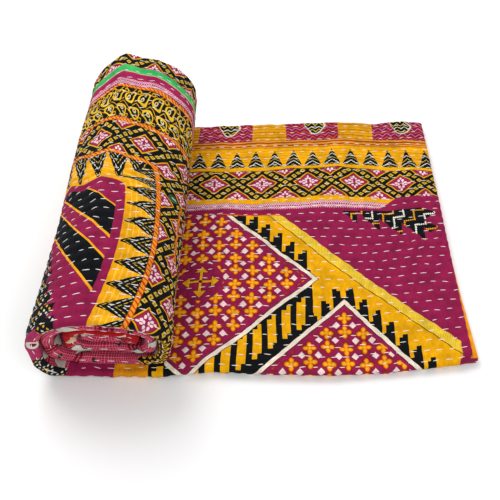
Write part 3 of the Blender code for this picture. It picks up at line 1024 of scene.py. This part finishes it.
def stitch_grid(along_from, along_to, across_from, across_to):
    """Where the running stitches are: middles along and across, half lengths and slants."""
    random = np.random.default_rng(SEED)
    rows = np.arange(math.ceil(across_from / ROW_PITCH), math.floor(across_to / ROW_PITCH) + 1)
    found = []
    for row in rows:
        first = math.ceil(along_from / STITCH_PITCH + ROW_SHIFT * row)
        last = math.floor(along_to / STITCH_PITCH + ROW_SHIFT * row)
        middles = (np.arange(first, last + 1) - ROW_SHIFT * row) * STITCH_PITCH
        count = len(middles)
        middles = middles + random.normal(0, STRAY_ALONG, count)
        level = row * ROW_PITCH + row_wander(middles, row * ROW_PITCH) + random.normal(0, STRAY_ACROSS, count)
        half, slant = random.uniform(*HALF_STITCH, count), random.normal(0, STRAY_SLANT, count)
        found.append(np.stack([middles, level, half, slant], axis=-1))
    return np.concatenate(found)


def make_stitches(name, start, end, home, measured, across_from, across_to, thread):
    """Running stitches over part of the cloth: small rounded lengths of thread that dip in at both ends."""
    grid = stitch_grid(*np.interp((start, end), FINE, measured), across_from, across_to)
    bm = bmesh.new()
    bmesh.ops.create_uvsphere(bm, u_segments=6, v_segments=5, radius=1.0)
    template = bpy.data.meshes.new("stitch")
    bm.to_mesh(template)
    shape = np.array([vert.co for vert in bm.verts])
    for _ in range(len(grid) - 1):
        bm.from_mesh(template)
    mesh = bpy.data.meshes.new(name)
    bm.to_mesh(mesh)
    bm.free()
    bpy.data.meshes.remove(template)
    middle, level, half, slant = (grid[:, i : i + 1] for i in range(4))
    run = shape[None, :, 2] * half
    along = middle + run
    across = level + run * slant + shape[None, :, 0] * THREAD / 2
    crown = THREAD_CROWN * (1 - shape[None, :, 2] ** 2)
    outwards = CLOTH / 2 + puff(along, across) + crown - THREAD_SINK
    outwards = outwards + shape[None, :, 1] * THREAD * THREAD_FLAT
    points = face_point(np.interp(along, measured, FINE), across, home, outwards)
    mesh.vertices.foreach_set("co", points.reshape(-1, 3).ravel())
    mesh.polygons.foreach_set("use_smooth", np.ones(len(mesh.polygons), bool))
    mesh.materials.append(thread)
    bm = bmesh.new()
    bm.from_mesh(mesh)
    bmesh.ops.recalc_face_normals(bm, faces=bm.faces)
    bm.to_mesh(mesh)
    bm.free()
    piece = add_object(name, mesh)
    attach(piece, "root")


def make_sewing():
    thread = cotton_thread()
    fold = FRONT_CENTRE - FRONT_ARC
    make_stitches("stitches_flat_end", -0.995, 0.04, TOP, OUTSIDE, fold + 0.004, BACK_CENTRE, thread)
    make_stitches("stitches_roll", 0.10, 1.04, UNDER, OUTSIDE, fold + 0.003, STRIP_WIDTH / 2 - 0.004, thread)
    make_stitches("stitches_inner_wraps", 1.08, 3.3, UNDER, MIDDLE, fold + 0.001, FRONT_CENTRE, thread)


def make_floor():
    """A pale floor, large enough to fill the view."""
    mesh = square_mesh("floor", 1, 1, 3.0)
    material, shader = start_material("matt_white_paper", 0.95, 0.1)
    shader.inputs["Base Color"].default_value = linear("#F7F7F7")
    mesh.materials.append(material)
    add_object("floor", mesh)


def make_lights():
    """Soft even light from all round, with a large lamp behind on the left and a smaller one in front."""
    world = bpy.data.worlds.new("studio")
    world.use_nodes = True
    background = world.node_tree.nodes["Background"]
    background.inputs["Color"].default_value = (1.0, 1.0, 1.0, 1.0)
    background.inputs["Strength"].default_value = 0.62
    bpy.context.scene.world = world
    for name, place, size, power in (
        ("large_lamp", (-0.7, 0.9, 1.5), 1.1, 22.0),
        ("front_lamp", (0.9, -0.9, 1.3), 1.2, 9.0),
    ):
        light = bpy.data.lights.new(name, "AREA")
        light.size, light.energy = size, power
        lamp = add_object(name, light)
        lamp.location = place
        lamp.rotation_euler = (-Vector(place)).to_track_quat("-Z", "Y").to_euler()
    bpy.context.scene.view_settings.view_transform = "Standard"


def make_camera():
    """The photo's view: from the front, looking steeply down."""
    camera = bpy.data.cameras.new("camera")
    camera.lens, camera.sensor_width = 40.74, 36.0
    rig = add_object("camera", camera)
    rig.location = (-0.0074, -0.4235, 0.568)
    rig.rotation_euler = Euler((math.radians(90 - 55), math.radians(-0.13), math.radians(1.28)), "XYZ")
    bpy.context.scene.camera = rig


make_camera()
make_cloth()
make_sewing()
make_floor()
make_lights()
